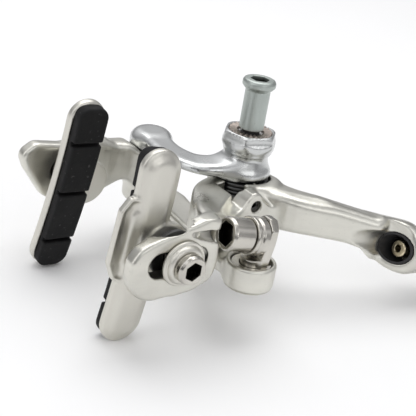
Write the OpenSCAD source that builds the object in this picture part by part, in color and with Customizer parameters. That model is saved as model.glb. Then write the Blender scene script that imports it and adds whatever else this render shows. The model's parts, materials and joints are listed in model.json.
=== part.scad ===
// Dual-pivot side-pull rim brake caliper, lying open without a cable.
// +Z runs along the mounting bolt towards the frame, +X away from the wheel axle, Y across the wheel.
// Z = 0 is the seat that meets the fork or the brake bridge.

// Sub-part to draw on its own, or all of them.

/* [Mounting] */
// Width across the flats of the hexagonal spacer.
spacer_af = 13.4; // [12:0.1:15]
// Diameter of the mounting stud.
stud_d = 5; // [4:0.1:6]
// Outside diameter of the recessed sleeve nut.
sleeve_d = 6.8; // [6:0.1:9]
// Diameter of the sleeve nut head.
sleeve_head_d = 9; // [8:0.1:12]
// Height of the sleeve nut top above the seat.
sleeve_top = 14.2; // [12:0.1:30]
// Gap left between the seat and the sleeve nut.
sleeve_gap = 0.3; // [0.2:0.1:3]

/* [Pivots] */
// Diameter of both pivot journals.
pivot_d = 7; // [6:0.1:8]
// Side pivot position along X.
side_x = -13; // [-16:0.5:-6]
// Side pivot position along Y.
side_y = 27; // [24:0.5:30]
// Radial clearance between a journal and its bushing.
running_gap = 0.05; // [0.02:0.01:0.1]

/* [Brake reach] */
// Distance from the bolt to the middle of the pad slots.
reach = 40; // [38:0.5:52]
// Length of the near pad slot.
slot_len = 16.6; // [12:0.2:20]
// Length of the far pad slot.
far_slot_len = 13.6; // [10:0.2:20]
// Height of a pad slot.
slot_h = 6.6; // [5.4:0.1:8]
// Height of the slots below the seat.
slot_z = -18.6; // [-22:0.2:-16]
// Thickness of an arm at its slot.
leaf_t = 4; // [3:0.1:5]
// Distance from the wheel plane to an arm's inner face at its slot.
leaf_y = 25.2; // [22:0.1:30]

/* [Brake pads] */
// Distance from the wheel plane to the near rubber face.
near_face_y = 15.8; // [11:0.1:18]
// Distance from the wheel plane to the far rubber face.
far_face_y = 13.6; // [11:0.1:18]
// Length of a rubber block along its arc.
rubber_len = 49; // [44:0.5:56]
// Height of a rubber block.
rubber_h = 9; // [8:0.1:12]
// Width of the holder lip around the rubber.
lip = 0.8; // [0.6:0.1:2]
// Radius of the rim that the pads follow.
rim_r = 315; // [240:5:340]
// Offset of the pad centre line from its bolt, towards the axle.
pad_drop = 5; // [0:0.1:7]
// Position of a pad bolt along X.
pad_bolt_x = -39.2; // [-43:0.1:-36]
// Lean of the near pad about its bolt.
near_tilt = 7.5; // [0:0.5:12]
// Lean of the far pad about its bolt.
far_tilt = 4.5; // [0:0.5:12]
// Toe of the far pad.
far_toe = 10; // [0:0.5:12]
// Turn of each pad face towards the top of the brake.
pad_turn = 3; // [0:0.5:10]

/* [Cable] */
// Position of the cable clamp along X.
clamp_x = -15.7; // [-20:0.1:-10]
// Position of the cable clamp along Y.
clamp_y = -28; // [-34:0.1:-26]
// Height of the cable clamp.
clamp_z = -16.2; // [-20:0.1:-12]
// Slope of the cable line below horizontal.
cable_tilt = 11.8; // [0:0.1:15]
// Turn of the cable line about Z.
cable_yaw = -4; // [-8:0.1:4]
// Distance from the clamp to the middle of the adjuster boss.
cable_run = 55.2; // [45:0.1:60]
// Diameter of the threaded adjuster barrel.
barrel_d = 5; // [5:0.1:7]
// Bore for the bare cable.
cable_bore = 2.2; // [1.6:0.1:2.6]
// Bore for the cable housing.
housing_bore = 5.3; // [5:0.1:6]
// Diameter of the adjuster knob.
knob_d = 13.4; // [11:0.1:16]

/* [Hidden] */
$fn = 64;
eps = 0.01;
// Bottom of the bracket and top of the stop arm boss.
bracket_bottom = -12.8;
boss_top = -14;
boss_bottom = -24.4;
bushing_top = -18.6;
bushing_bottom = -21.6;
// Crossing part of the anchor arm.
cross_top = -25;
cross_bottom = -30.4;
side_top = -15.4;
side_boss_bottom = -14.4;
cup_top = -22.7;
cup_bottom = -30;
cup_x = clamp_x - 0.8;
cup_y = clamp_y;
journal_d = pivot_d;
bush_bore = pivot_d + 2 * running_gap;
bush_d = pivot_d + 2;
rubber_t = 3.8;
holder_front = 2.6;
holder_back = 5;
spine_back = 6.2;

// Flat link between two discs of different radius.
module link2(a, ra, b, rb) {
    d = norm(b - a);
    t = atan2(b[1] - a[1], b[0] - a[0]);
    k = acos((ra - rb) / d);
    translate(a) circle(r = ra);
    translate(b) circle(r = rb);
    polygon([a + ra * [cos(t + k), sin(t + k)], b + rb * [cos(t + k), sin(t + k)],
             b + rb * [cos(t - k), sin(t - k)], a + ra * [cos(t - k), sin(t - k)]]);
}

// Flat bar along a path, with a disc at every bend.
module strip(p, r) {
    for (i = [0:len(p) - 1])
        translate(p[i]) circle(r = r[i]);
    for (i = [1:len(p) - 1]) {
        d = (p[i] - p[i - 1]) / norm(p[i] - p[i - 1]);
        n = 0.9 * [-d[1], d[0]];
        polygon([p[i - 1] + r[i - 1] * n, p[i] + r[i] * n, p[i] - r[i] * n, p[i - 1] - r[i - 1] * n]);
    }
}

// Plate seen along Y, given as an X-Z outline, spanning a range of Y.
module xz_plate(y0, y1) {
    translate([0, y1, 0]) rotate([90, 0, 0]) linear_extrude(y1 - y0) children();
}

// Places children on the cable line, local +Z pointing from the clamp to the adjuster.
module on_cable(run) {
    translate([clamp_x, clamp_y, clamp_z])
        rotate([0, 90 + cable_tilt, cable_yaw])
            translate([0, 0, run]) children();
}

module tube(od, id, h) {
    difference() {
        cylinder(d = od, h = h);
        translate([0, 0, -1]) cylinder(d = id, h = h + 2);
    }
}

// Hexagonal spacer, waisted neck, collar and the arm that carries the side pivot.
module bracket() {
    color("silver") difference() {
        union() {
            intersection() {
                translate([0, 0, -4.9]) rotate([0, 0, 15])
                    cylinder(d = spacer_af / cos(30), h = 4.6, $fn = 6);
                union() {
                    translate([0, 0, -4.9]) cylinder(r1 = 6.4, r2 = 7.6, h = 1.6);
                    translate([0, 0, -3.3]) cylinder(r = 7.6, h = 2.1);
                    translate([0, 0, -1.2]) cylinder(r1 = 7.6, r2 = 6.7, h = 0.9);
                }
            }
            rotate_extrude() polygon([[0, -4.2], [6.1, -4.2], [6.05, -5.6], [5.8, -7], [5.9, -8.4], [6.4, -9.6],
                                      [7.1, -10.5], [7.4, -11.4], [7.4, -12.4], [7, bracket_bottom],
                                      [0, bracket_bottom]]);
            translate([0, 0, bracket_bottom]) linear_extrude(4)
                link2([0, 0], 5.2, [-7, 2.4], 4.2);
            translate([0, 0, bracket_bottom]) linear_extrude(3.1)
                link2([0, 0], 5.4, [-11.5, 4], 4.4);
            translate([0, 0, bracket_bottom]) linear_extrude(2.8)
                link2([-11.5, 4], 4.4, [-15, 14], 4);
            translate([0, 0, bracket_bottom]) linear_extrude(2.6)
                link2([-15, 14], 4, [side_x, side_y], 3.6);
            translate([side_x, side_y, side_boss_bottom]) cylinder(r = 6.2, h = 2.4);
            translate([side_x, side_y, side_boss_bottom + 2.4]) cylinder(r1 = 6.2, r2 = 4.8, h = 1.3);
            translate([side_x, side_y, side_boss_bottom + 3.7]) cylinder(r1 = 4.8, r2 = 2, h = 0.8);
        }
        translate([0, 0, -13]) cylinder(d = stud_d, h = 14);
        translate([0, 0, -1]) cylinder(d = 11.8, h = 2);
        translate([side_x, side_y, side_boss_bottom - 1]) cylinder(d = 5, h = 4.1);
    }
}

// Mounting stud, pivot journal and front thread in one turned piece.
module centre_bolt() {
    color("dimgray") union() {
        translate([0, 0, -13.4]) cylinder(d = stud_d, h = 22.8);
        translate([0, 0, bushing_bottom]) cylinder(d = journal_d, h = bracket_bottom - bushing_bottom - 0.1);
        translate([0, 0, boss_bottom + 0.1]) cylinder(d = 5.6, h = 4);
    }
}

module centre_washer() {
    color("gray") translate([0, 0, bushing_bottom - 0.6]) tube(9.6, 5.8, 0.5);
}

module centre_nut() {
    color("silver") difference() {
        translate([0, 0, boss_bottom + 0.1]) cylinder(d = 9 / cos(30), h = 2, $fn = 6);
        translate([0, 0, -26]) cylinder(d = 5.6, h = 4);
    }
}

module sleeve_nut() {
    color("darkgray") difference() {
        union() {
            translate([0, 0, sleeve_gap]) cylinder(d = sleeve_d, h = sleeve_top - sleeve_gap - 1);
            translate([0, 0, sleeve_top - 2.8]) cylinder(d1 = sleeve_d + 0.6, d2 = sleeve_head_d, h = 0.8);
            translate([0, 0, sleeve_top - 2]) cylinder(d = sleeve_head_d, h = 1.4);
            translate([0, 0, sleeve_top - 0.6]) cylinder(d1 = sleeve_head_d, d2 = sleeve_head_d - 1.2, h = 0.6);
        }
        translate([0, 0, 0]) cylinder(d = stud_d + 0.04, h = 10.2);
        translate([0, 0, 10]) cylinder(d = 5 / cos(30), h = 6, $fn = 6);
    }
}

module toothed_washer() {
    color("rosybrown") difference() {
        translate([0, 0, -1]) tube(11.6, 7.2, 1);
        for (i = [0:23])
            rotate([0, 0, i * 15]) translate([4.9, 0, 0]) rotate([45, 0, 0]) cube([3, 0.6, 0.6], center = true);
    }
}

// Coils of the return spring, each turn touching the next.
module return_spring() {
    color("black") for (i = [0:3])
        translate([0, 0, -17.6 + i * 1.25]) rotate_extrude() translate([6.7, 0]) circle(d = 1.35, $fn = 24);
}

module side_pivot_bolt() {
    color("dimgray") difference() {
        union() {
            translate([side_x, side_y, -28.2]) cylinder(d = journal_d, h = 28.1 + side_boss_bottom);
            translate([side_x, side_y, side_boss_bottom - 1]) cylinder(d = 5, h = 4);
            translate([side_x, side_y, cross_bottom + 0.2]) cylinder(d = 10, h = 2.2);
        }
        translate([side_x, side_y, cross_bottom - 1]) cylinder(d = 5 / cos(30), h = 3.8, $fn = 6);
    }
}

module side_washer() {
    color("black") translate([side_x, side_y, side_top + 0.1]) tube(10.5, 7.3, 0.8);
}

// Outline of the near leaf with its slot, in the X-Z plane.
module near_leaf_xz() {
    difference() {
        union() {
            link2([-46, -19.4], 8.2, [-37, -19], 8.8);
            polygon([[-52.6, -14.6], [-51.6, -11.6], [-46, -11.3], [-31.2, -8.8], [-29.2, -10], [-29.2, -22],
                     [-31, -25.4], [-40, -27.7]]);
        }
        slot_xz(slot_len);
    }
}

// Outline of the far leaf with its slot, in the X-Z plane.
module far_leaf_xz() {
    difference() {
        union() {
            translate([-51.6, -12.3]) circle(r = 2.7);
            translate([-45.2, -23.8]) circle(r = 3.1);
            polygon([[-51.6, -9.7], [-44, -10.9], [-30, -10.2], [-28, -11.5], [-28, -22], [-31, -24.4],
                     [-38, -26.3], [-45.2, -26.8], [-47.8, -25.2], [-53.3, -16.8], [-54.2, -12.3]]);
        }
        slot_xz(far_slot_len);
    }
}

// Stadium outline of a pad slot, in the X-Z plane. Both slots end at the same X next to the arm's leg.
module slot_xz(len) {
    right = -reach + (slot_len - slot_h) / 2;
    for (e = [right, right - len + slot_h])
        translate([e, slot_z]) circle(d = slot_h);
    translate([right - len + slot_h, slot_z - slot_h / 2]) square([len - slot_h, slot_h]);
}

// Solid that clears a pad slot over 14 mm of Y.
module slot_cutter(len) {
    xz_plate(0, 14) slot_xz(len);
}

// Wedge that slants the mouth of the adjuster boss towards the near side.
module mouth_cutter() {
    intersection() {
        on_cable(cable_run - 5.5) rotate([-32, 0, 0]) translate([-9, -14, -9]) cube([18, 18, 9]);
        on_cable(cable_run - 22) cylinder(r = 7.2, h = 34);
    }
}

// Centre-pivot arm: near leaf, hub, ear and the long arm with the adjuster boss.
module stop_arm() {
    color("silver") difference() {
        union() {
            // Hub.
            translate([0, 0, boss_bottom]) cylinder(r = 9.5, h = boss_top - boss_bottom);
            // Leg from the hub to the leaf.
            intersection() {
                translate([0, 0, -30]) linear_extrude(22)
                    strip([[-2, -2], [-14, -10.6], [-23, -16.8], [-28.4, -22.4], [-30.4, -leaf_y - 1.9]],
                          [6, 4.8, 3.7, 2.7, 1.7]);
                xz_plate(-34, 12) polygon([[-42, -11.2], [-29.5, -9.2], [-22, -13], [-15, -17.4], [9, -17.4],
                                           [9, -24.6], [-12, -24.6], [-24, -23.4], [-32, -25.6], [-42, -27]]);
            }
            // Web between the hub and the leg, under the bracket's arm.
            translate([0, 0, boss_bottom + 0.3]) linear_extrude(boss_top - boss_bottom)
                strip([[-2, -1.8], [-12.4, -4.6], [-19.4, -10.8], [-23.6, -15.4]], [6, 5.3, 4.1, 2.6]);
            // Leaf.
            xz_plate(-leaf_y - leaf_t, -leaf_y) near_leaf_xz();
            // Ear.
            xz_plate(-13.6, -8.4) union() {
                translate([-5.6, -15.4]) circle(r = 2.7);
                polygon([[-14.6, -20], [-12.2, -18.3], [-10.2, -16.7], [-8.3, -14.6], [-7, -13.3], [-4.2, -13.3],
                         [-2.8, -14.7], [0.2, -17.2], [4, -19.2], [4, -24], [-14.6, -24]]);
            }
            // Long arm.
            intersection() {
                translate([0, 0, -32]) linear_extrude(20)
                    strip([[0, -3], [8.5, -14.8], [20, -22.6], [32.6, -29.6]], [6.2, 4.2, 3.8, 4.8]);
                xz_plate(-36, 4) polygon([[-6, -13.9], [4, -13.9], [15, -15.8], [26, -19], [39, -22.4],
                                          [39, -32.4], [30, -30.6], [20, -27.6], [10, -25.8], [4, -24.2],
                                          [-6, -23.6]]);
            }
            // Adjuster boss.
            on_cable(cable_run - 8) cylinder(d = 12.8, h = 13);
        }
        // Pivot, spring pocket and nut recess.
        translate([0, 0, -26]) cylinder(d = bush_d, h = 13);
        translate([0, 0, bushing_top]) difference() {
            cylinder(r = 7.9, h = 6);
            translate([0, 0, -1]) cylinder(r = 5.3, h = 8);
        }
        translate([0, 0, bushing_top + 1]) cylinder(d = 11, h = 6);
        translate([0, 0, boss_bottom - 1]) cylinder(d = 12.4, h = bushing_bottom - boss_bottom + 1.05);
        // Window through the hub wall beside the ear.
        translate([-7.7, -5.4, boss_top + 1.8]) cube([6, 5.7, 9], center = true);
        xz_plate(-14, -7) polygon([[-10.6, -16.2], [-9.8, -16.3], [-8.1, -14.4], [-7, -13.1], [-7, -9], [-10.6, -9]]);
        // Centring screw hole.
        translate([-4.9, 0, -16.6]) rotate([90, 0, 0]) cylinder(d = 3.2, h = 20);
        // Slot kept clear where the leg meets the leaf.
        translate([0, -34, 0]) slot_cutter(slot_len);
        // Room for the head of the cable anchor.
        on_cable(-12.6) cylinder(d = 10, h = 12.2);
        // Slanted mouth, counterbore and barrel bore of the adjuster boss.
        mouth_cutter();
        on_cable(cable_run - 8) cylinder(d = 8.8, h = 9);
        on_cable(cable_run - 8) cylinder(d = barrel_d + 2 * running_gap, h = 20);
    }
}

module centre_bushing() {
    color("goldenrod") translate([0, 0, bushing_bottom + 0.1])
        tube(bush_d, bush_bore, bushing_top - bushing_bottom + 0.9);
}

module centring_screw() {
    color("dimgray") difference() {
        translate([-4.9, -8.8, -16.6]) rotate([90, 0, 0]) cylinder(d = 3.2, h = 3.4);
        translate([-4.9, -10.8, -16.6]) rotate([90, 0, 0]) cylinder(d = 1.5 / cos(30), h = 3, $fn = 6);
    }
}

module barrel_liner() {
    color("black") difference() {
        on_cable(cable_run - 8) tube(8.8, 7.6, 9);
        mouth_cutter();
    }
}

// Threaded barrel with its cable bore and the socket for the housing end.
module barrel() {
    color("darkkhaki") difference() {
        union() {
            on_cable(cable_run - 4.2) cylinder(d = barrel_d, h = 18);
            on_cable(cable_run + 13.2) cylinder(d = 7.6, h = 7.6);
        }
        on_cable(cable_run - 6) cylinder(d = cable_bore, h = 30);
        on_cable(cable_run + 14.6) cylinder(d = housing_bore, h = 8);
    }
}

module adjuster_knob() {
    color("black") difference() {
        on_cable(cable_run + 5.9) union() {
            cylinder(d = knob_d, h = 5.4);
            translate([0, 0, 5.4]) cylinder(d1 = knob_d, d2 = knob_d - 3, h = 1.5);
        }
        on_cable(cable_run + 4) cylinder(d = barrel_d + 2 * running_gap, h = 12);
        for (i = [0:11])
            on_cable(cable_run + 4) rotate([0, 0, i * 30]) translate([knob_d / 2 + 0.5, 0, 0])
                cylinder(d = 2.2, h = 10, $fn = 24);
    }
}

module knob_ring() {
    color("black") on_cable(cable_run + 5.1) tube(11.4, 6.4, 0.7);
}

// Side-pivot arm: far leaf, hub, crossing bar and the cup of the cable anchor.
module anchor_arm() {
    color("silver") difference() {
        union() {
            translate([side_x, side_y, cross_bottom]) cylinder(r = 6.4, h = side_top - cross_bottom);
            // Crossing bar.
            translate([0, 0, cross_bottom + 0.2]) linear_extrude(cross_top - cross_bottom - 0.2)
                strip([[side_x, side_y - 1], [-13, 14], [-14.6, -2], [cup_x, -15.6]], [5.2, 5.2, 4.8, 4.6]);
            translate([0, 0, cup_bottom + 1.2]) linear_extrude(cross_top - cup_bottom - 1.5)
                strip([[cup_x, -14], [cup_x, cup_y]], [4, 5]);
            translate([cup_x, cup_y, cup_bottom + 0.9]) cylinder(r = 6.5, h = cup_top - cup_bottom - 0.9);
            // Far leg.
            intersection() {
                translate([0, 0, -32]) linear_extrude(22)
                    strip([[side_x - 1, side_y], [-24, 27.5], [-33, leaf_y + 1.9]], [4.6, 3, 1.6]);
                xz_plate(16, 36) polygon([[-38, -11.4], [-26, -12.4], [-21.4, -12.6], [-19.6, side_top - 0.2],
                                          [-9, side_top - 0.6], [-9, -29.4], [-15, -29.4], [-20, -25.4],
                                          [-24, -23.8], [-31, -25], [-38, -26.4]]);
            }
            xz_plate(leaf_y, leaf_y + leaf_t) far_leaf_xz();
        }
        translate([side_x, side_y, cross_bottom - 1]) cylinder(d = bush_d, h = 20);
        translate([side_x, side_y, cross_bottom - 1]) cylinder(d = 10.6, h = 3.6);
        translate([0, 20, 0]) slot_cutter(far_slot_len);
        // Recess and bore of the cup.
        translate([cup_x, cup_y, cup_top - 2.6]) cylinder(d = 10.6, h = 4);
        translate([cup_x, cup_y, cup_bottom]) cylinder(d = 6, h = 12);
    }
}

module side_bushing() {
    color("goldenrod") translate([side_x, side_y, -27.7]) tube(bush_d, bush_bore, 27.7 + side_top);
}

module cup_cap() {
    color("silver") translate([cup_x, cup_y, 0]) difference() {
        union() {
            translate([0, 0, cup_bottom]) cylinder(r1 = 5.4, r2 = 6.4, h = 0.9);
            translate([0, 0, cup_bottom + 0.9]) cylinder(d = 6, h = 1.2);
        }
        translate([0, 0, cup_bottom - 0.01]) cylinder(d = 3, h = 0.6);
    }
}

// Swivelling block with a post in the cup and a face square to the cable.
module swivel_block() {
    color("silver") difference() {
        union() {
            translate([cup_x, cup_y, cup_bottom + 2.4]) cylinder(d = 5.9, h = 6);
            translate([cup_x, cup_y, cup_top - 2.5]) cylinder(d = 10, h = 1);
            intersection() {
                translate([cup_x, cup_y, cup_top - 1.6]) cylinder(r = 6, h = 14);
                on_cable(0.4) linear_extrude(2.7)
                    polygon([[-3.2, -3.9], [-5.4, -1.3], [-5.4, 1.3], [-3.2, 3.9], [9, 3.9], [9, -3.9]]);
            }
            translate([cup_x + 2.2, cup_y, cup_top - 0.6]) cube([4, 5, 3], center = true);
        }
        on_cable(-4) cylinder(d = cable_bore, h = 16);
        on_cable(0.2) cylinder(d = 5 + 2 * running_gap, h = 2.5);
    }
}

module swivel_washer() {
    color("gray") translate([cup_x, cup_y, cup_top - 1.4]) difference() {
        tube(10, 6.4, 0.6);
        translate([2.8, 0, 0]) cube([6, 6, 4], center = true);
    }
}

// Hollow pinch bolt, head towards the wheel axle.
module anchor_bolt() {
    color("gainsboro") difference() {
        union() {
            on_cable(-10.6) cylinder(d1 = 7.4, d2 = 8.6, h = 0.9);
            on_cable(-9.7) cylinder(d = 8.6, h = 5.6);
            on_cable(-4.2) cylinder(d = 5, h = 6.8);
        }
        on_cable(-12) cylinder(d = 5 / cos(30), h = 5.4, $fn = 6);
        on_cable(-12) cylinder(d = cable_bore, h = 20);
    }
}

// Ridged ring squeezed against the block.
module clamp_washer() {
    color("silver") difference() {
        union() {
            on_cable(-3.9) cylinder(d = 9.8, h = 1.2);
            on_cable(-2.7) cylinder(d = 9, h = 0.8);
            on_cable(-1.9) cylinder(d = 9.8, h = 2);
        }
        on_cable(-5) cylinder(d = 5.1, h = 7);
    }
}

// Arc-shaped block in pad axes: X height, Y away from the rim, Z along the pad.
module arc_block(h, y0, y1, half_len, corner) {
    translate([0, y1, 0]) rotate([90, 0, 0]) linear_extrude(y1 - y0) intersection() {
        difference() {
            translate([-rim_r, 0]) circle(r = rim_r + h / 2, $fn = 360);
            translate([-rim_r, 0]) circle(r = rim_r - h / 2, $fn = 360);
        }
        union() {
            translate([-20, corner - half_len]) square([40, 2 * (half_len - corner)]);
            for (s = [-1, 1])
                translate([-half_len * half_len / 2 / rim_r, s * (half_len - corner)]) union() {
                    translate([-(h / 2 - corner), -corner]) square([h - 2 * corner, 2 * corner]);
                    for (t = [-1, 1])
                        translate([t * (h / 2 - corner), 0]) circle(r = corner);
                }
        }
    }
}

// Rubber block with three cross grooves.
module rubber_shape() {
    difference() {
        arc_block(rubber_h, 0, rubber_t, rubber_len / 2, 3);
        for (z = [-16, -1, 14])
            translate([0, 0.2, z]) rotate([45, 0, 0]) cube([24, 1.3, 1.3], center = true);
    }
}

// Tray that carries the rubber, with a spine along its back.
module holder_shape() {
    difference() {
        union() {
            arc_block(rubber_h + 2 * lip, holder_front, holder_back, rubber_len / 2 + lip, 4.2);
            arc_block(rubber_h - 2.4, holder_back - 0.5, spine_back, rubber_len / 2 - 1, 3);
        }
        arc_block(rubber_h, holder_front - 1, rubber_t, rubber_len / 2, 3);
    }
}

// Places pad shapes: side is -1 for the near pad and 1 for the far pad.
module pad_at(side) {
    translate([pad_bolt_x - pad_drop, side > 0 ? far_face_y : -near_face_y, slot_z + (side > 0 ? -0.4 : 0)])
        rotate([side > 0 ? far_toe : 0, side > 0 ? far_tilt : near_tilt, side * pad_turn])
            mirror([0, side > 0 ? 0 : 1, 0]) children();
}

// Places children on a pad bolt, local +Z pointing away from the rim.
module bolt_at(side) {
    translate([pad_bolt_x, side * leaf_y, slot_z]) rotate([-side * 90, 0, 0]) children();
}

module holder(side) {
    t = leaf_y - spine_back - (side > 0 ? far_face_y : near_face_y);
    difference() {
        union() {
            pad_at(side) holder_shape();
            if (side < 0)
                pad_at(side) translate([-8.8, holder_front + 0.3, -9.5]) cube([8, 2.4, 22.5]);
            bolt_at(side) translate([0, 0, -t - 3]) cylinder(d = 13, h = 3.2);
        }
        bolt_at(side) translate([0, 0, -t - 1.6]) cylinder(d = 5, h = 9);
        pad_at(side) arc_block(rubber_h, holder_front - 1, rubber_t, rubber_len / 2, 3);
    }
}

module rubber(side) {
    pad_at(side) rubber_shape();
}

module pad_bolt(side) {
    t = leaf_y - spine_back - (side > 0 ? far_face_y : near_face_y);
    difference() {
        union() {
            bolt_at(side) translate([0, 0, -t - 1.5]) cylinder(d = 5, h = leaf_t + t + 4);
            bolt_at(side) translate([0, 0, leaf_t + 2.5]) cylinder(d = 7.6, h = 2);
            bolt_at(side) translate([0, 0, leaf_t + 4.5]) cylinder(d1 = 7.6, d2 = 6.8, h = 0.4);
        }
        bolt_at(side) translate([0, 0, leaf_t + 2.3]) cylinder(d = 4 / cos(30), h = 4, $fn = 6);
    }
}

// Flat disc and domed washer outside the leaf.
module outer_washers(side) {
    difference() {
        union() {
            bolt_at(side) translate([0, 0, leaf_t + 0.1]) cylinder(d = 12.6, h = 1);
            bolt_at(side) translate([0, 0, leaf_t + 1.1]) cylinder(d1 = 10.8, d2 = 8.8, h = 1.3);
        }
        bolt_at(side) cylinder(d = 5.3, h = 9);
    }
}

// Flat disc and domed washer between the leaf and the holder.
module inner_washers(side) {
    t = leaf_y - spine_back - (side > 0 ? far_face_y : near_face_y);
    difference() {
        union() {
            bolt_at(side) translate([0, 0, -1.3]) cylinder(d = 12.4, h = 1.2);
            bolt_at(side) translate([0, 0, 0.3 - t]) cylinder(d1 = 9.6, d2 = 11.2, h = t - 1.6);
        }
        bolt_at(side) translate([0, 0, -9]) cylinder(d = 5.3, h = 12);
    }
}

module near_holder() {
    color("silver") holder(-1);
}

module near_rubber() {
    color("black") rubber(-1);
}

module near_pad_bolt() {
    color("gainsboro") pad_bolt(-1);
}

module near_outer_washers() {
    color("gray") outer_washers(-1);
}

module near_inner_washers() {
    color("gray") inner_washers(-1);
}

module far_holder() {
    color("silver") holder(1);
}

module far_rubber() {
    color("black") rubber(1);
}

module far_pad_bolt() {
    color("gainsboro") pad_bolt(1);
}

module far_outer_washers() {
    color("gray") outer_washers(1);
}

module far_inner_washers() {
    color("gray") inner_washers(1);
}

bracket();
centre_bolt();
centre_nut();
centre_washer();
sleeve_nut();
toothed_washer();
return_spring();
side_pivot_bolt();
side_washer();
stop_arm();
centre_bushing();
centring_screw();
barrel_liner();
barrel();
adjuster_knob();
knob_ring();
anchor_arm();
side_bushing();
cup_cap();
swivel_block();
swivel_washer();
anchor_bolt();
clamp_washer();
near_holder();
near_rubber();
near_pad_bolt();
near_outer_washers();
near_inner_washers();
far_holder();
far_rubber();
far_pad_bolt();
far_outer_washers();
far_inner_washers();
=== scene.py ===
import json
import math

import bpy
import numpy as np
import openvdb as vdb
from mathutils import Matrix, Vector


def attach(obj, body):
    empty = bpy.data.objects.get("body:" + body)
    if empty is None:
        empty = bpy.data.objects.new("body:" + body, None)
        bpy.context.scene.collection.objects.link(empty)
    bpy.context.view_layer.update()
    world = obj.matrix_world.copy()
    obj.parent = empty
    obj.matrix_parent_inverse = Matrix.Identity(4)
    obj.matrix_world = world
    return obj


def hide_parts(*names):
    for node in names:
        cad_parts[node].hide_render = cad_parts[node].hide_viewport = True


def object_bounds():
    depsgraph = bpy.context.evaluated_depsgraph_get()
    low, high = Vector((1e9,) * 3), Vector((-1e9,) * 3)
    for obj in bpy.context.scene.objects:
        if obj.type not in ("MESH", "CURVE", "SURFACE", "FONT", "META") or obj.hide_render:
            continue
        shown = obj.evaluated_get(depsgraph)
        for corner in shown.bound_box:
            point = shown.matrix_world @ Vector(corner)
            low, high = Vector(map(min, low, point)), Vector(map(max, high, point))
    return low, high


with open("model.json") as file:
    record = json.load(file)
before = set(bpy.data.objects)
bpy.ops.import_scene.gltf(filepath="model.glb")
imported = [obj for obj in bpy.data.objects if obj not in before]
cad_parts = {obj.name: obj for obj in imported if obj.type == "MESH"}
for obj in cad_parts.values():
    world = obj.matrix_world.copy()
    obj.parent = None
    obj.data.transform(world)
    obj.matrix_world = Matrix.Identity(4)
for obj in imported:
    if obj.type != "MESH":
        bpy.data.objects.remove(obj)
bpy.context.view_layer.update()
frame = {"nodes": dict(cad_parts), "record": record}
# Everything below is modelled in millimetres and scaled to metres when a mesh is made.
MM = 0.001


# ---------------------------------------------------------------- signed distance helpers
def smin(a, b, k):
    """Union with a blend of width k."""
    h = np.maximum(k - np.abs(a - b), 0.0) / k
    return np.minimum(a, b) - h * h * k * 0.25


def smax(a, b, k):
    """Intersection with a rounded edge of width k."""
    return -smin(-a, -b, k)


def cut(a, b, k=0.4):
    """Takes b away from a, with a rounded edge of width k."""
    return smax(a, -b, k)


def slab(z, low, high):
    return np.maximum(low - z, z - high)


def disc(x, y, cx, cy, r):
    return np.hypot(x - cx, y - cy) - r


def box(x, y, z, centre, half):
    return np.maximum(np.maximum(np.abs(x - centre[0]) - half[0], np.abs(y - centre[1]) - half[1]),
                      np.abs(z - centre[2]) - half[2])


def poly(x, y, pts):
    """Signed distance to a closed outline."""
    best, sign = None, 1.0
    for i in range(len(pts)):
        (ax, ay), (bx, by) = pts[i], pts[i - 1]
        ex, ey = bx - ax, by - ay
        wx, wy = x - ax, y - ay
        t = np.clip((wx * ex + wy * ey) / (ex * ex + ey * ey), 0, 1)
        q = (wx - ex * t) ** 2 + (wy - ey * t) ** 2
        best = q if best is None else np.minimum(best, q)
        up, down, left = y >= ay, y < by, ex * wy > ey * wx
        sign = np.where((up & down & left) | (~up & ~down & ~left), -sign, sign)
    return sign * np.sqrt(best)


def path(x, y, pts, radii, k=1.0):
    """Signed distance to a bar that follows a path, with a radius at every bend."""
    d = None
    for (ax, ay), (bx, by), ra, rb in zip(pts, pts[1:], radii, radii[1:]):
        ex, ey = bx - ax, by - ay
        t = np.clip(((x - ax) * ex + (y - ay) * ey) / (ex * ex + ey * ey), 0, 1)
        q = np.hypot(x - ax - ex * t, y - ay - ey * t) - (ra + (rb - ra) * t)
        d = q if d is None else smin(d, q, k)
    return d


def spline(pts, radii, steps=6):
    """More points and radii along a path, so that it bends smoothly."""
    q = np.array([(*p, r) for p, r in zip(pts, radii)], float)
    q = np.concatenate([[2 * q[0] - q[1]], q, [2 * q[-1] - q[-2]]])
    out = []
    for i in range(1, len(q) - 2):
        for j in range(steps):
            t = j / steps
            a, b, c, d = q[i - 1:i + 3]
            out.append(0.5 * (2 * b + (c - a) * t + (2 * a - 5 * b + 4 * c - d) * t * t
                              + (3 * b - a - 3 * c + d) * t ** 3))
    out = np.array(out + [q[-2]])
    return out[:, :2], out[:, 2]


def bent_bar(x, y, pts, radii):
    """Signed distance to a bar that bends smoothly through its points."""
    return path(x, y, *spline(pts, radii), 0.5)


def curve(x, xs, ys):
    """A smooth line through points, for a profile that changes along an axis."""
    fine = np.linspace(xs[0] - 6, xs[-1] + 6, 400)
    line = np.interp(fine, xs, ys)
    kernel = np.hanning(41) / np.hanning(41).sum()
    line = np.convolve(np.pad(line, 20, mode="edge"), kernel, mode="valid")
    return np.interp(x, fine, line)


def hexagon(x, y, across, turned_by=0.0):
    d = None
    for i in range(3):
        a = math.radians(turned_by + 60 * i)
        q = np.abs(x * math.cos(a) + y * math.sin(a)) - across / 2
        d = q if d is None else np.maximum(d, q)
    return d


def mapped(m, x, y, z):
    """Grid coordinates taken through a matrix."""
    m = np.array(m)
    return [m[i, 0] * x + m[i, 1] * y + m[i, 2] * z + m[i, 3] for i in range(3)]


def local(place, x, y, z):
    """Grid coordinates seen from a placement matrix."""
    return mapped(place.inverted(), x, y, z)


# ---------------------------------------------------------------- placements and shared sizes
CABLE_TILT, CABLE_YAW = 11.8, -4.0
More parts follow.
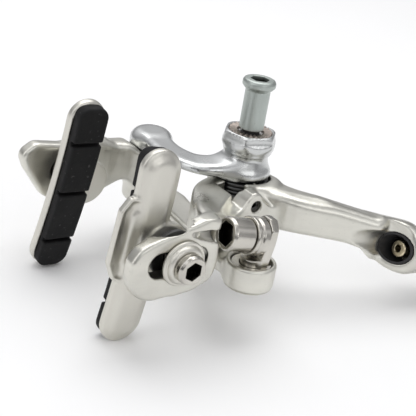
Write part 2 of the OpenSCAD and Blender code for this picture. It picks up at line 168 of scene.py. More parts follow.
# RUN is the cable's straight way from the clamp to the adjuster.
RUN = 55.2
CLAMP = Vector((-15.7, -28.0, -16.2))
CUP = (-16.5, -28.0)
SIDE = (-13.0, 27.0)
NEAR, FAR = -1, 1
# The leaves' inner faces stand LEAF_Y from the middle and the pads' faces stand FACE from it. SPINE is a
# pad's thickness, from its face to the back of its holder.
LEAF_Y, SLOT_Z, BOLT_X, SPINE = 25.2, -18.6, -39.2, 6.2
FACE = {NEAR: 15.8, FAR: 13.6}
SLOT_HALF = 3.3
SPACER_ACROSS = 13.4
BUSHING_SEAT = 4.5
M5_HOLE, WASHER_HOLE, CABLE_HOLE = 2.5, 2.65, 1.1
# The pads follow the rim: they bend by z squared over this.
PAD_BEND = 630.0


def turn(deg, axis):
    return Matrix.Rotation(math.radians(deg), 4, axis)


ON_CABLE = Matrix.Translation(CLAMP) @ turn(CABLE_YAW, "Z") @ turn(90 + CABLE_TILT, "Y")
FLIP = Matrix.Scale(-1, 4, (0, 1, 0))


def pad_place(side):
    at = Vector((BOLT_X - 5, side * FACE[side], SLOT_Z - (0.4 if side > 0 else 0)))
    m = Matrix.Translation(at) @ turn(side * 3, "Z") @ turn(4.5 if side > 0 else 7.5, "Y")
    m = m @ turn(10 if side > 0 else 0, "X")
    return m if side > 0 else m @ FLIP


def bolt_place(side):
    return Matrix.Translation((BOLT_X, side * LEAF_Y, SLOT_Z)) @ turn(-side * 90, "X")


# ---------------------------------------------------------------- meshing
def relax(v, quads, rounds):
    """Evens out the surface without shrinking it."""
    e = np.concatenate([quads[:, [0, 1]], quads[:, [1, 2]], quads[:, [2, 3]], quads[:, [3, 0]]])
    a, b = np.concatenate([e[:, 0], e[:, 1]]), np.concatenate([e[:, 1], e[:, 0]])
    deg = np.maximum(np.bincount(a, minlength=len(v)), 1)[:, None]
    for _ in range(rounds):
        for step in (0.5, -0.52):
            mean = np.stack([np.bincount(a, v[b, c], minlength=len(v)) for c in range(3)], 1) / deg
            v = v + step * (mean - v)
    return v


def facing_out(v, quads):
    p = v[quads]
    volume = np.einsum("ij,ij->i", p[:, 0], np.cross(p[:, 1], p[:, 2])).sum()
    volume += np.einsum("ij,ij->i", p[:, 0], np.cross(p[:, 2], p[:, 3])).sum()
    return quads[:, ::-1] if volume < 0 else quads


def add(name, mesh):
    o = bpy.data.objects.new(name, mesh)
    bpy.context.scene.collection.objects.link(o)
    return o


def surface(name, field, low, high, step, rounds, place=Matrix.Identity(4), shade=None):
    """Meshes a distance field inside a box, in its own axes, and places it. shade gives a point's painted
    shade.
    """
    axes = [np.arange(low[i] - 2 * step, high[i] + 3 * step, step, dtype=np.float32) for i in range(3)]
    x, y, z = axes[0][:, None, None], axes[1][None, :, None], axes[2][None, None, :]
    d = np.broadcast_to(field(x, y, z), [len(a) for a in axes])
    d = np.clip(d, -3 * step, 3 * step).astype(np.float32)
    grid = vdb.FloatGrid(3 * step)
    grid.copyFromArray(np.ascontiguousarray(d))
    v, quads = grid.convertToQuads(isovalue=0.0)
    quads = np.array(quads, int)
    v = relax(np.array(v, float), quads, rounds)
    v = v * step + np.array([a[0] for a in axes], float)
    painted_shade = None if shade is None else shade(v[:, 0], v[:, 1], v[:, 2])
    m = np.array(place)
    v = v @ m[:3, :3].T + m[:3, 3]
    mesh = bpy.data.meshes.new(name)
    mesh.from_pydata((v * MM).tolist(), [], facing_out(v, quads).tolist())
    # Painted shade is stored as a point attribute, and the materials darken the colour by it.
    if painted_shade is not None:
        values = np.clip(painted_shade, 0, 1).astype(np.float32)
        mesh.attributes.new("painted_shade", "FLOAT", "POINT").data.foreach_set("value", values)
    mesh.shade_smooth()
    return add(name, mesh)


def put(o, body, slot, node, finish=None):
    """Gives a piece its body and its finish, and hides the CAD node that it stands for."""
    o.data.materials.clear()
    o.data.materials.append(finish or FINISH[slot])
    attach(o, body)
    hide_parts(node)


# ---------------------------------------------------------------- materials
def node(tree, kind, **values):
    """Adds a shader node and sets the inputs that are not linked."""
    n = tree.nodes.new("ShaderNode" + kind)
    for key, value in values.items():
        n.inputs[key.replace("_", " ")].default_value = value
    return n


def mix_towards(tree, colour):
    n = tree.nodes.new("ShaderNodeMix")
    n.data_type = "RGBA"
    n.inputs["B"].default_value = colour
    return n


def colour_ramp(tree, low, high):
    n = tree.nodes.new("ShaderNodeValToRGB")
    for stop, position, colour in zip(n.color_ramp.elements, (0.3, 0.7), (low, high)):
        stop.position = position
        stop.color = (*colour, 1)
    return n


def material(name, base, rough, metallic=1.0, vary=0.08, grain=(120, 120, 120), fine=1500, bump=0.05,
             specks=0.0, wear=(0.05, 0.08)):
    """A finish with colour variation, uneven roughness, specks of dirt, a fine relief and painted shade from
    a point attribute.
    """
    m = bpy.data.materials.new(name)
    m.use_nodes = True
    t = m.node_tree
    link = t.links.new
    shader = t.nodes["Principled BSDF"]
    shader.inputs["Metallic"].default_value = metallic

    coords = node(t, "TexCoord")
    stretch = node(t, "Mapping", Scale=grain)
    broad = node(t, "TexNoise", Scale=1.0, Detail=5)
    small = node(t, "TexNoise", Scale=fine, Detail=3)
    link(coords.outputs["Object"], stretch.inputs["Vector"])
    link(stretch.outputs["Vector"], broad.inputs["Vector"])
    link(coords.outputs["Object"], small.inputs["Vector"])

    ramp = colour_ramp(t, [c * (1 - vary) for c in base], [min(1, c * (1 + vary)) for c in base])
    spot = node(t, "MapRange", From_Min=0.66, From_Max=0.74, To_Max=specks)
    dirt = mix_towards(t, [wear[0] + 0.6 * (1 - c) * wear[1] for c in base] + [1])
    # Painted shade: where a piece carries the point attribute, its colour is mixed towards near black.
    painted_shade = node(t, "Attribute")
    painted_shade.attribute_name = "painted_shade"
    shade_darkening = mix_towards(t, (0.02, 0.018, 0.015, 1))
    link(broad.outputs["Fac"], ramp.inputs["Fac"])
    link(small.outputs["Fac"], spot.inputs["Value"])
    link(spot.outputs["Result"], dirt.inputs["Factor"])
    link(ramp.outputs["Color"], dirt.inputs["A"])
    link(painted_shade.outputs["Fac"], shade_darkening.inputs["Factor"])
    link(dirt.outputs["Result"], shade_darkening.inputs["A"])
    link(shade_darkening.outputs["Result"], shader.inputs["Base Color"])

    uneven = node(t, "MapRange", From_Min=0.25, From_Max=0.75, To_Min=rough[0], To_Max=rough[1])
    relief = node(t, "Bump", Strength=bump, Distance=0.0002)
    link(broad.outputs["Fac"], uneven.inputs["Value"])
    link(uneven.outputs["Result"], shader.inputs["Roughness"])
    link(small.outputs["Fac"], relief.inputs["Height"])
    link(relief.outputs["Normal"], shader.inputs["Normal"])
    return m


ALLOY = material("PolishedAlloy", (0.66, 0.65, 0.595), (0.26, 0.42), vary=0.12, grain=(60, 60, 160),
                 specks=0.15)
CAST = material("BracketAlloy", (0.60, 0.61, 0.605), (0.20, 0.33), vary=0.07, grain=(90, 90, 140),
                specks=0.25)
SATIN = material("SatinAlloy", (0.67, 0.655, 0.60), (0.32, 0.48), vary=0.12, grain=(80, 80, 30), bump=0.08)
PLATED = material("PlatedSteel", (0.57, 0.55, 0.505), (0.14, 0.28), vary=0.10, grain=(200, 200, 200),
                  specks=0.3)
ZINC = material("ZincSteel", (0.46, 0.50, 0.475), (0.34, 0.52), vary=0.14, grain=(160, 160, 60),
                specks=0.4, bump=0.12)
BROWN = material("TarnishedSteel", (0.46, 0.40, 0.36), (0.32, 0.5), vary=0.25, grain=(400, 400, 400),
                 specks=0.6, bump=0.2)
DARK = material("DarkSteel", (0.10, 0.10, 0.10), (0.3, 0.5), vary=0.25, grain=(300, 300, 300),
                specks=0.3, bump=0.1)
BRONZE = material("Bronze", (0.55, 0.40, 0.22), (0.35, 0.5), vary=0.15, grain=(300, 300, 300), bump=0.15)
BRASS = material("Brass", (0.62, 0.54, 0.38), (0.2, 0.36), vary=0.12, grain=(250, 250, 250), specks=0.25)
PLASTIC = material("BlackPlastic", (0.018, 0.018, 0.019), (0.38, 0.55), metallic=0.0, vary=0.2,
                   grain=(300, 300, 300), bump=0.15)
RUBBER = material("PadRubber", (0.006, 0.006, 0.0065), (0.60, 0.80), metallic=0.0, vary=0.3,
                  grain=(220, 220, 220), fine=900, bump=0.35, specks=0.35, wear=(0.10, 0.04))
RUBBER.node_tree.nodes["Principled BSDF"].inputs["Specular IOR Level"].default_value = 0.3
PAPER = material("Paper", (0.97, 0.97, 0.97), (0.85, 0.95), metallic=0.0, vary=0.004, grain=(8, 8, 8),
                 fine=300, bump=0.02)
FINISH = {"polished_alloy": ALLOY, "satin_alloy": SATIN, "plated_steel": PLATED, "zinc_steel": ZINC,
          "brown_steel": BROWN, "dark_steel": DARK, "bronze": BRONZE, "brass": BRASS,
          "black_plastic": PLASTIC, "pad_rubber": RUBBER}


# ---------------------------------------------------------------- shared outlines
def near_leaf(x, z):
    bar = path(x, z, [(-45.4, -20.2), (-37, -19)], [7.8, 8.8])
    side = poly(x, z, [(-51.6, -17), (-50.2, -14.8), (-46, -13.2), (-31.8, -8.9), (-30.0, -10.0),
                       (-30.2, -22), (-31.8, -24.4), (-40, -26.6)]) - 0.9
    return smin(bar, side, 1.5)


def far_leaf(x, z):
    d = poly(x, z, [(-49.6, -12.9), (-43, -13.8), (-30.6, -13.2), (-30.4, -14.5), (-31, -19.6),
                    (-32.6, -21.6), (-38, -23.4), (-44.2, -23.8), (-45.4, -23.0), (-50.2, -15.8),
                    (-51.0, -13.8)])
    return d - 3.0


def slot_hole(x, z, left):
    return path(x, z, [(left, SLOT_Z), (-35, SLOT_Z)], [SLOT_HALF, SLOT_HALF])


# ---------------------------------------------------------------- bracket
def bracket(x, y, z):
    r = np.hypot(x, y)
    waist = curve(z, [-13, -12, -10.8, -9.6, -8.4, -7, -5.4, -4], [6.9, 7.5, 7.3, 6.5, 6.0, 5.8, 6.1, 6.5])
    neck = np.maximum((r - waist) * 0.85, slab(z, -12.8, -3.6))
    spacer = smax(hexagon(x, y, SPACER_ACROSS, 15), slab(z, -5.4, -0.3), 0.5)
    spacer = smax(spacer, r - np.interp(z, [-5.4, -3.4, -1.0, -0.2], [6.2, 7.65, 7.65, 6.8]), 0.4)
    arm = bent_bar(x, y, [(-1, 0), (-11.5, 4), (-15, 14), SIDE], [5.0, 4.4, 4.0, 4.4])
    arm = smax(arm, slab(z, -12.8, np.interp(r, [5, 9, 14, 22], [-8.4, -9.0, -9.7, -9.9])), 2.2)
    rs = np.hypot(x - SIDE[0], y - SIDE[1])
    boss = np.hypot(np.maximum(rs - 3.4, 0), np.maximum(z + 12.6, 0) * 1.05) - 2.8
    boss = smax(boss, -14.4 - z, 0.5)
    d = smin(smin(neck, arm, 3.2), boss, 1.6)
    d = smin(d, spacer, 2.4)
    recess = np.maximum(r - 5.9, -1.0 - z)
    d = cut(d, recess, 0.3)
    d = cut(d, np.maximum(r - M5_HOLE, -14 - z), 0.2)
    return cut(d, np.maximum(rs - M5_HOLE, slab(z, -16, -11.3)), 0.2)


# ---------------------------------------------------------------- stop arm
def near_leg(x, y, z):
    """Runs from the hub down to the near leaf."""
    plan = bent_bar(x, y, [(-2, -2), (-14, -10.6), (-23, -16.8), (-28.4, -22.4), (-30.4, -27.1)],
                    [6.0, 4.8, 3.7, 2.7, 1.7])
    top = curve(x, [-42, -33, -29, -22, -15, 4], [-11.2, -9.2, -9.0, -12.6, -17.0, -17.6])
    bottom = curve(x, [-40, -32, -24, -12, 4], [-26.6, -25.6, -23.4, -24.4, -24.4])
    return smax(plan, np.maximum((z - top) * 0.85, bottom - z), 1.4)


def ear(x, y, z):
    """The fin beside the hub that holds the small screw."""
    head = disc(x, z, -5.6, -15.3, 2.7)
    fin = poly(x, z, [(-15.6, -20.4), (-12.2, -18.3), (-10.0, -16.7), (-8.3, -14.8), (-7.2, -13.4),
                      (-4.0, -13.4), (-2.8, -14.8), (0.2, -17.2), (4.6, -19.2), (6, -24), (-15.6, -24)])
    return smax(np.minimum(head, fin), slab(y, -13.6, -9.2 + 0.5 * np.minimum(z + 19, 0)), 0.8)


def long_arm(x, y, z):
    """Runs from the hub out to the cable adjuster, with a soft ridge along its top."""
    plan = bent_bar(x, y, [(0, -3), (8.5, -14.5), (20, -21.7), (33, -28.4)], [6.4, 4.3, 3.8, 4.8])
    top = curve(x, [-6, 4, 15, 26, 39], [-13.8, -13.9, -15.6, -18.4, -21.8])
    bottom = curve(x, [-6, 4, 10, 20, 30, 39], [-23.6, -24.3, -24.7, -26.0, -29.2, -31.8])
    ridge = curve(x, [-6, 4, 14, 26, 38], [0.0, 0.5, 0.9, 0.8, 0.3])
    ridge = ridge * np.clip((y + 12 + 0.70 * x) / 3.0, -1, 1)
    return smax(plan, np.maximum((z - top - ridge) * 0.92, bottom - z), 2.2)


def adjuster_relief(q, v, w):
    """The slanted scoop in front of the adjuster's boss, from the cable's radius q and its own v and w."""
    slant = math.radians(32)
    start = w - RUN + 5.5
    deep = start * math.cos(slant) + v * math.sin(slant)
    across = v * math.cos(slant) - start * math.sin(slant)
    return smax(np.maximum(q - 7.2, slab(across, -14, 4)), slab(deep, -9, 0), 2.5)


def stop_arm(x, y, z):
    r = np.hypot(x, y)
    u, v, w = local(ON_CABLE, x, y, z)
    q = np.hypot(u, v)
    hub = smax(r - 9.5, slab(z, -24.4, -14.0), 1.2)
    web = bent_bar(x, y, [(-2, -1.8), (-12.4, -4.6), (-19.4, -10.8), (-23.6, -15.4)], [6.0, 5.3, 4.1, 2.6])
    web = smax(web, slab(z, -24.1, -13.8), 1.0)
    leaf = smax(near_leaf(x, z), slab(y, -29.2, -25.2), 1.3)
    boss = smax(q - 6.5, slab(w, RUN - 9, RUN + 5), 1.4)
    d = smin(smin(hub, web, 1.2), near_leg(x, y, z), 2.2)
    d = smin(d, long_arm(x, y, z), 3.0)
    d = smin(d, ear(x, y, z), 1.4)
    # The anchor bolt's head turns in this room, which is cut before the leaf is blended in.
    head_room = np.maximum(q - 5.0, slab(w, -12.6, -0.4))
    d = smin(cut(d, head_room, 1.0), leaf, 1.4)
    d = smin(d, boss, 6.0)
    d = cut(d, adjuster_relief(q, v, w), 2.2)

    d = np.maximum(d, BUSHING_SEAT - r)
    spring_groove = np.maximum(slab(r, 5.3, 7.9), -18.6 - z)
    d = cut(d, spring_groove, 0.3)
    d = cut(d, np.maximum(r - 5.5, -17.6 - z), 0.3)
    nut_recess = np.maximum(r - 6.2, z + 21.55)
    d = cut(d, nut_recess, 0.3)
    window = box(x, y, z, (-7.7, -5.4, -12.2), (3.0, 2.85, 4.5))
    beside_ear = poly(x, z, [(-10.7, -16.4), (-9.8, -16.4), (-8.1, -14.4), (-7, -13.1), (-7, -9),
                             (-10.7, -9)])
    d = cut(d, np.minimum(window, np.maximum(beside_ear, slab(y, -14, -7))), 0.5)
    screw_hole = np.maximum(disc(x, z, -4.9, -16.6, 1.6), y)
    d = cut(d, screw_hole, 0.5)
    d = np.maximum(d, -head_room - 0.3)
    d = cut(d, np.maximum(slot_hole(x, z, -45), y + 20), 0.5)
    liner_seat = np.maximum(q - 4.4, slab(w, RUN - 20, RUN + 1))
    d = cut(d, liner_seat, 0.5)
    return cut(d, np.maximum(q - 2.55, w - RUN - 12), 0.2)


# ---------------------------------------------------------------- side arm with the anchor cup
def anchor_arm(x, y, z):
    rs = np.hypot(x - SIDE[0], y - SIDE[1])
    rc = np.hypot(x - CUP[0], y - CUP[1])
    hub = smax(rs - 6.4, slab(z, -30.4, -15.4), 1.2)
    bar = path(x, y, [(SIDE[0], SIDE[1] - 1), (-13, 14), (-14.6, -2), (CUP[0], -17), CUP],
               [5.2, 5.2, 4.8, 4.6, 5.0])
    bar = smax(bar, slab(z, np.interp(y, [-24, -14], [-29.0, -30.2]), -25.0), 2.0)
    cup = smax(rc - 6.5, slab(z, -29.1, -22.7), 0.7)
    leg = bent_bar(x, y, [(SIDE[0] - 1, SIDE[1]), (-24, 27.5), (-36, 27.1)], [4.8, 3.2, 1.8])
    top = curve(x, [-40, -30, -21, -17, -9], [-10.6, -11.4, -12.4, -15.6, -16])
    bottom = curve(x, [-40, -31, -27, -23, -19.5, -15, -9], [-27.4, -27.4, -25.5, -23.4, -24.6, -28.0, -29.4])
    leg = smax(leg, np.maximum(z - top, bottom - z), 2.4)
    leaf = smax(far_leaf(x, z), slab(y, 25.2, 29.2), 1.4)
    d = smin(smin(hub, bar, 3.0), cup, 1.5)
    d = smin(smin(d, leg, 2.5), leaf, 2.2)

    side_boss_room = rs - 6.45 + 100 * (z < -14.6)
    d = np.maximum(d, -side_boss_room)
    d = np.maximum(d, BUSHING_SEAT - rs)
    bolt_recess = np.maximum(rs - 5.3, z + 27.8)
    d = cut(d, bolt_recess, 0.3)
    d = cut(d, np.maximum(slot_hole(x, z, -42), 20 - y), 0.5)
    cup_well = np.maximum(rc - 5.3, -25.3 - z)
    d = cut(d, cup_well, 0.4)
    return cut(d, rc - 3.0, 0.2)


# ---------------------------------------------------------------- pads, in pad axes
def behind_pad(side):
    """The gap between the back of a pad's holder and its leaf, which the inner washers fill."""
    return LEAF_Y - SPINE - FACE[side]


def holder(side):
    back = behind_pad(side)

    def field(x, y, z):
        h = x + z * z / PAD_BEND
        out = path(h, z, [(0, -20), (0, 20)], [5.3, 5.3])
        base = smax(out, slab(y, 2.6, 5.0), 1.0)
        out = path(h, z, [(0, -19.6), (0, 19.6)], [4.6, 4.6])
        ridge = smax(np.hypot(np.maximum(out + 2.6, 0) * 0.9, np.maximum(y - 3.6, 0)) - 2.6, 3.0 - y, 0.8)
        if side == NEAR:
            wing = poly(x, z, [(-8.3, 9.6), (-6.6, 12.6), (0, 12.8), (0, -8.6), (-6.4, -7.6),
                               (-8.3, -4)]) - 0.5
            base = smin(base, smax(wing, slab(y, 2.8, 5.2), 0.9), 0.8)
            rim = np.maximum(np.minimum(wing, out - 0.5), z - 24)
            groove = np.hypot(np.maximum(np.abs(rim + 2.1) - 0.5, 0), y - 5.6) - 0.9
            base = cut(base, groove, 0.8)
        d = smin(base, ridge, 0.8)
        u, v, w = mapped(bolt_place(side).inverted() @ pad_place(side), x, y, z)
        q = np.hypot(u, v)
        d = smin(d, smax(q - 6.5, slab(w, -back - 3.0, -back + 0.2), 0.8), 1.2)
        d = cut(d, np.maximum(q - M5_HOLE, -back - 1.6 - w), 0.2)
        bed = path(h, z, [(0, -20.0), (0, 20.0)], [4.5, 4.5])
        return cut(d, np.maximum(bed, slab(y, 0, 3.8)), 0.15)
    return field


def rubber(x, y, z):
    """A block with rounded ends and three grooves across its face."""
    h = x + z * z / PAD_BEND
    out = np.maximum(np.abs(h) - 4.5, np.abs(z) - 24.5)
    corner = np.hypot(np.maximum(np.abs(h) - 1.3, 0), np.maximum(np.abs(z) - 21.3, 0)) - 3.2
    d = smax(np.maximum(out, corner), slab(y, 0, 3.75), 0.7)
    for at in (-16, -1, 14):
        d = cut(d, np.maximum(np.abs(z - at) - 0.55, y - 1.5), 0.35)
    return d


# ---------------------------------------------------------------- turned parts, local +Z along the axis
def turned(*outline, bore=None, socket=None):
    """The outline is (radius, height) pairs, bore (radius, low, high), socket (flats, floor, its side)."""
    def field(x, y, z):
        r = np.hypot(x, y)
        d = poly(r, z, list(outline))
        if bore:
            d = np.maximum(d, -np.maximum(r - bore[0], slab(z, bore[1], bore[2])))
        if socket:
            d = np.maximum(d, -np.maximum(hexagon(x, y, socket[0]), (z - socket[1]) * socket[2]))
        return d
    return field


def through(radius):
    """A bore that runs through the whole piece."""
    return radius, -99, 99


def painted_socket_shade(flats, mouth, side):
    """Painted shade inside a socket that opens at the given height, darker deeper in."""
    def shade(x, y, z):
        # Painted shade: points inside the socket's hexagon are darkened more the deeper they lie.
        inside = hexagon(x, y, flats) < 0.25
        return inside * np.clip(((mouth - z) * side - 0.25) * 1.2, 0, 0.86)
    return shade


def toothed(x, y, z):
    r = np.hypot(x, y)
    d = np.maximum(slab(r, 3.6, 5.8), slab(z, -1, 0))
    pitch = math.radians(15)
    a = np.arctan2(y, x) / pitch
    across = np.abs(a - np.round(a)) * pitch * r
    return np.maximum(d, (z + 0.72 - across) * 0.7)


def swivel_block(x, y, z):
    rc = np.hypot(x - CUP[0], y - CUP[1])
    u, v, w = local(ON_CABLE, x, y, z)
    post = np.maximum(rc - 2.95, slab(z, -27.6, -21.6))
    foot = smax(rc - 5.0, slab(z, -25.2, -24.2), 0.3)
    face = poly(u, v, [(-3.2, -3.9), (-5.4, -1.3), (-5.4, 1.3), (-3.2, 3.9), (10, 3.9), (10, -3.9)])
    block = smax(smax(face, slab(w, 0.4, 3.1), 0.7), np.maximum(rc - 5.2, -24.3 - z), 0.3)
    neck = smax(smax(disc(x, y, CUP[0] + 2.0, CUP[1], 2.6), slab(z, -24.4, -21.6), 0.3), rc - 4.9, 0.3)
    d = smin(smin(block, post, 0.8), smin(foot, neck, 0.6), 0.8)
    return np.maximum(d, -np.maximum(np.hypot(u, v) - 2.55, w - 2.7))


def knob(x, y, z):
    """A short drum with twelve finger grooves."""
    r = np.hypot(x, y)
    d = poly(r, z, [(0, RUN + 5.9), (6.3, RUN + 5.9), (6.7, RUN + 6.3), (6.7, RUN + 11.3), (5.2, RUN + 12.8),
                    (0, RUN + 12.8)])
    pitch = math.radians(30)
    a = np.arctan2(y, x)
    a = a - np.round(a / pitch) * pitch
    grip = np.hypot(r * np.cos(a) - 7.2, r * np.sin(a)) - 1.1
    return np.maximum(cut(d, grip, 0.4), 2.55 - r)


def barrel(x, y, z):
    """A threaded tube with a step, and a socket for the cable's housing in its outer end."""
    tube = turned((0, RUN - 4.2), (2.2, RUN - 4.2), (2.5, RUN - 3.8), (2.5, RUN + 13.2), (3.5, RUN + 13.2),
                  (3.8, RUN + 13.5), (3.8, RUN + 20.5), (3.5, RUN + 20.8), (0, RUN + 20.8),
                  bore=through(CABLE_HOLE))
    housing = np.maximum(np.hypot(x, y) - 2.65, RUN + 14.6 - z)
    return np.maximum(tube(x, y, z), -housing)


def cup_cap(x, y, z):
    """A shallow lid with a plug that stands up in the cup."""
    lid = turned((0, -30), (4.9, -30), (5.5, -29.8), (6.25, -29.25), (6.25, -29.1), (0, -29.1),
                 bore=(1.5, -31, -29.4))
    return np.minimum(lid(x, y, z), np.maximum(np.hypot(x, y) - 3, slab(z, -29.2, -27.9)))


# ---------------------------------------------------------------- build the pieces
def arms():
    o = surface("Bracket", bracket, (-20, -9, -15), (9, 34, 0.2), 0.3, 4)
    put(o, "bracket", "polished_alloy", "bracket", CAST)
    o = surface("StopArm", stop_arm, (-55, -42, -36), (42, 10, -9.5), 0.36, 4)
    put(o, "stop_arm", "polished_alloy", "stop_arm")
    o = surface("AnchorArm", anchor_arm, (-55, -35, -31), (-5, 34, -9.5), 0.36, 4)
    put(o, "anchor_arm", "polished_alloy", "anchor_arm")


def pad(side, word):
    """One brake pad: holder and rubber in pad axes, bolt and washers on the slot's axis."""
    title, place, at, back = word.capitalize(), pad_place(side), bolt_place(side), behind_pad(side)
    body = word + "_pad"
    o = surface(title + "Holder", holder(side), (-10.5, -1, -27), (13, 11, 27), 0.28, 4, place)
    put(o, body, "satin_alloy", word + "_holder")
    o = surface(title + "Rubber", rubber, (-7, -0.5, -25), (6, 4.5, 25), 0.25, 3, place)
    put(o, body, "pad_rubber", word + "_rubber")
    bolt = turned((0, -back - 1.5), (2.5, -back - 1.5), (2.5, 6.5), (3.8, 6.5), (3.8, 8.1), (3.35, 8.9),
                  (0, 8.9), socket=(4.2, 4.6, -1))
    o = surface(title + "PadBolt", bolt, (-4, -4, -back - 2), (4, 4, 9.2), 0.14, 2, at, painted_socket_shade(4.2, 8.9, 1))
    put(o, body, "plated_steel", word + "_pad_bolt")
    outer = turned((0, 4.1), (5.6, 4.1), (5.85, 4.4), (5.85, 4.8), (5.6, 5.15), (5.0, 5.15), (4.9, 5.7),
                   (4.6, 6.2), (4.2, 6.4), (0, 6.4), bore=through(WASHER_HOLE))
    o = surface(title + "OuterWashers", outer, (-6.5, -6.5, 3.8), (6.5, 6.5, 6.7), 0.16, 2, at)
    put(o, body, "satin_alloy", word + "_outer_washers")
    inner = turned((0, 0.3 - back), (4.6, 0.3 - back), (5.4, -1.3), (6.0, -1.3), (6.2, -1.1), (6.2, -0.3),
                   (6.0, -0.1), (0, -0.1), bore=through(WASHER_HOLE))
    o = surface(title + "InnerWashers", inner, (-6.5, -6.5, -back), (6.5, 6.5, 0.2), 0.18, 2, at)
    put(o, body, "dark_steel", word + "_inner_washers")


def mounting_hardware():
    nut = turned((2.5, 0.3), (3.4, 0.3), (3.4, 11.2), (3.7, 11.5), (4.2, 12.0), (4.5, 12.4), (4.5, 13.4),
                 (4.15, 14.0), (3.6, 14.2), (0, 14.2), (0, 10.2), (2.5, 10.2), socket=(4.6, 10.4, -1))
    o = surface("SleeveNut", nut, (-4.8, -4.8, 0.1), (4.8, 4.8, 14.4), 0.14, 3, shade=painted_socket_shade(4.6, 14.0, 1))
    put(o, "bracket", "zinc_steel", "sleeve_nut")
    o = surface("ToothedWasher", toothed, (-6, -6, -1.1), (6, 6, 0.1), 0.12, 1)
    put(o, "bracket", "brown_steel", "toothed_washer")


def cable_anchor():
    bolt = turned((0, -10.6), (3.8, -10.6), (4.3, -9.9), (4.3, -4.2), (4.15, -4.1), (2.5, -4.1), (2.5, 2.6),
                  (0, 2.6), bore=through(CABLE_HOLE), socket=(5.6, -6.2, 1))
    o = surface("AnchorBolt", bolt, (-4.5, -4.5, -10.8), (4.5, 4.5, 2.8), 0.14, 2, ON_CABLE,
                painted_socket_shade(5.6, -10.5, -1))
    put(o, "clamp", "plated_steel", "anchor_bolt")
    rings = turned((0, -3.9), (4.7, -3.9), (4.9, -3.7), (4.9, -2.9), (4.5, -2.6), (4.5, -2.2), (4.9, -1.8),
                   (4.9, -0.1), (4.7, 0.1), (0, 0.1), bore=through(2.55))
    o = surface("ClampRings", rings, (-5, -5, -4), (5, 5, 0.2), 0.13, 2, ON_CABLE)
    put(o, "clamp", "plated_steel", "clamp_washer")
    o = surface("SwivelBlock", swivel_block, (-22, -34, -28), (-10, -22, -9), 0.17, 3)
    put(o, "swivel", "plated_steel", "swivel_block")


def adjuster():
    o = surface("Barrel", barrel, (-4, -4, RUN - 4.5), (4, 4, RUN + 21), 0.16, 2, ON_CABLE)
    put(o, "barrel", "brass", "barrel")
    o = surface("AdjusterKnob", knob, (-7, -7, RUN + 5.7), (7, 7, RUN + 13), 0.2, 2, ON_CABLE)
    put(o, "knob", "black_plastic", "adjuster_knob")


def lid_under_cup():
    under_cup = Matrix.Translation((*CUP, 0))
    o = surface("CupCap", cup_cap, (-6.6, -6.6, -30.2), (6.6, 6.6, -27.8), 0.16, 2, under_cup)
    put(o, "anchor_arm", "polished_alloy", "cup_cap")


def spring():
    """Four turns of round wire around the hub."""
    wire, radius, turns = 0.6, 6.7, 4.0
    low, high = -18.0, -13.55
    count, sides = 220, 10
    pts = []
    for i in range(count + 1):
        a = 2 * math.pi * turns * i / count + 2.2
        pts.append(Vector((radius * math.cos(a), radius * math.sin(a), low + (high - low) * i / count)))
    verts, faces = [], []
    for i, p in enumerate(pts):
        along = (pts[min(i + 1, count)] - pts[max(i - 1, 0)]).normalized()
        side = along.cross(Vector((0, 0, 1))).normalized()
        up = side.cross(along)
        for j in range(sides):
            a = 2 * math.pi * j / sides
            verts.append((p + wire * (math.cos(a) * side + math.sin(a) * up)) * MM)
    for i in range(count):
        for j in range(sides):
            k = (j + 1) % sides
            faces.append((i * sides + j, (i + 1) * sides + j, (i + 1) * sides + k, i * sides + k))
    faces.append(tuple(range(sides)))
    faces.append(tuple(range(count * sides + sides - 1, count * sides - 1, -1)))
    mesh = bpy.data.meshes.new("ReturnSpring")
    mesh.from_pydata(verts, [], faces)
    mesh.shade_smooth()
    put(add("ReturnSpring", mesh), "bracket", "dark_steel", "return_spring")


arms()
pad(NEAR, "near")
pad(FAR, "far")
mounting_hardware()
cable_anchor()
adjuster()
lid_under_cup()
spring()

# CAD nodes that are seen as they are: some differ in finish from the others of their material.
OWN_FINISH = {"centre_bolt": DARK, "centre_nut": PLATED, "centre_washer": PLATED, "side_pivot_bolt": DARK,
              "side_washer": PLASTIC, "centre_bushing": BRONZE, "centring_screw": DARK,
              "barrel_liner": PLASTIC, "knob_ring": PLASTIC, "side_bushing": BRONZE, "swivel_washer": PLATED}
slots = {s["node"]: s["material_slot"] for s in frame["record"]["subparts"]}
for name, o in frame["nodes"].items():
    o.data.materials.clear()
    o.data.materials.append(OWN_FINISH.get(name) or FINISH[slots[name]])


# ---------------------------------------------------------------- floor, light and camera
def paper_floor():
    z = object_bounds()[0][2]
    half = 6.0
    mesh = bpy.data.meshes.new("Floor")
    mesh.from_pydata([(-half, -half, z), (half, -half, z), (half, half, z), (-half, half, z)], [],
                     [(0, 1, 2, 3)])
    mesh.materials.append(PAPER)
    add("Floor", mesh)


def area(name, place, size, power):
    """A rectangular lamp that faces the caliper."""
    lamp = bpy.data.lights.new(name, "AREA")
    lamp.shape = "RECTANGLE"
    lamp.size, lamp.size_y = size
    lamp.energy = power
    o = add(name, lamp)
    o.location = place
    o.rotation_euler = (-Vector(place)).to_track_quat("-Z", "Y").to_euler()


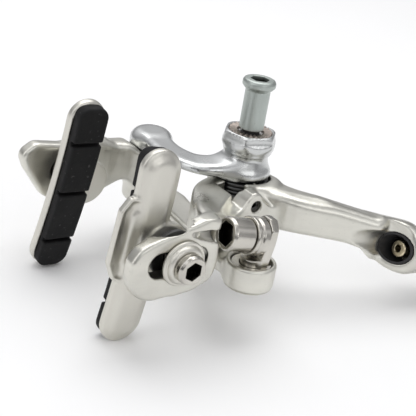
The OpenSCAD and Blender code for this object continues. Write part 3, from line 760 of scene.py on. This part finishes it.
def studio():
    """White to the camera; to the metal a grey ramp with soft panels that it can mirror."""
    world = bpy.data.worlds.new("Studio")
    bpy.context.scene.world = world
    world.use_nodes = True
    t = world.node_tree
    link = t.links.new
    sky = t.nodes["Background"]
    direction = node(t, "TexCoord")
    parts = node(t, "SeparateXYZ")
    height = node(t, "ValToRGB")
    for position, grey in ((0.02, 0.42), (0.25, 0.30), (0.5, 0.66), (0.85, 1.0)):
        stop = height.color_ramp.elements.new(position)
        stop.color = (grey, grey, grey * 1.02, 1)
    patches = node(t, "TexNoise", Scale=1.6, Detail=1)
    panels = node(t, "MapRange", From_Min=0.42, From_Max=0.56, To_Min=0.5, To_Max=1.25)
    plain = node(t, "Background", Color=(0.96, 0.96, 0.96, 1))
    which = node(t, "LightPath")
    blend = node(t, "MixShader")
    link(direction.outputs["Generated"], parts.inputs["Vector"])
    link(parts.outputs["Z"], height.inputs["Fac"])
    link(direction.outputs["Generated"], patches.inputs["Vector"])
    link(patches.outputs["Fac"], panels.inputs["Value"])
    link(panels.outputs["Result"], sky.inputs["Strength"])
    link(height.outputs["Color"], sky.inputs["Color"])
    link(which.outputs["Is Camera Ray"], blend.inputs["Fac"])
    link(sky.outputs["Background"], blend.inputs[1])
    link(plain.outputs["Background"], blend.inputs[2])
    link(blend.outputs["Shader"], t.nodes["World Output"].inputs["Surface"])


def photo_camera():
    """The photograph's camera, fitted to the caliper: it looks at a point from a direction, and rolls."""
    target, distance = Vector((-20.52, -12.55, -15.0)), 246.56
    azimuth, elevation, roll = math.radians(-39.65), math.radians(24.64), math.radians(9.78)
    level = math.cos(elevation)
    back = Vector((math.sin(azimuth) * level, -math.cos(azimuth) * level, math.sin(elevation)))
    right = Vector((math.cos(azimuth), math.sin(azimuth), 0))
    up = back.cross(right)
    side_axis = math.cos(roll) * right + math.sin(roll) * up
    up_axis = -math.sin(roll) * right + math.cos(roll) * up
    place = Matrix((side_axis, up_axis, back)).transposed().to_4x4()
    place.translation = (target + distance * back) * MM
    lens = bpy.data.cameras.new("Camera")
    lens.sensor_width = 36
    lens.lens = 83.59
    lens.clip_start = 0.01
    lens.clip_end = 50
    camera = add("Camera", lens)
    camera.matrix_world = place
    bpy.context.scene.camera = camera


paper_floor()
area("Top", (0.10, 0.22, 0.75), (0.8, 0.7), 3.4)
area("Left", (-0.75, 0.05, 0.35), (0.3, 0.6), 0.8)
area("Front", (-0.1, -0.8, 0.35), (0.6, 0.3), 0.8)
studio()
bpy.context.scene.view_settings.view_transform = "Standard"
photo_camera()
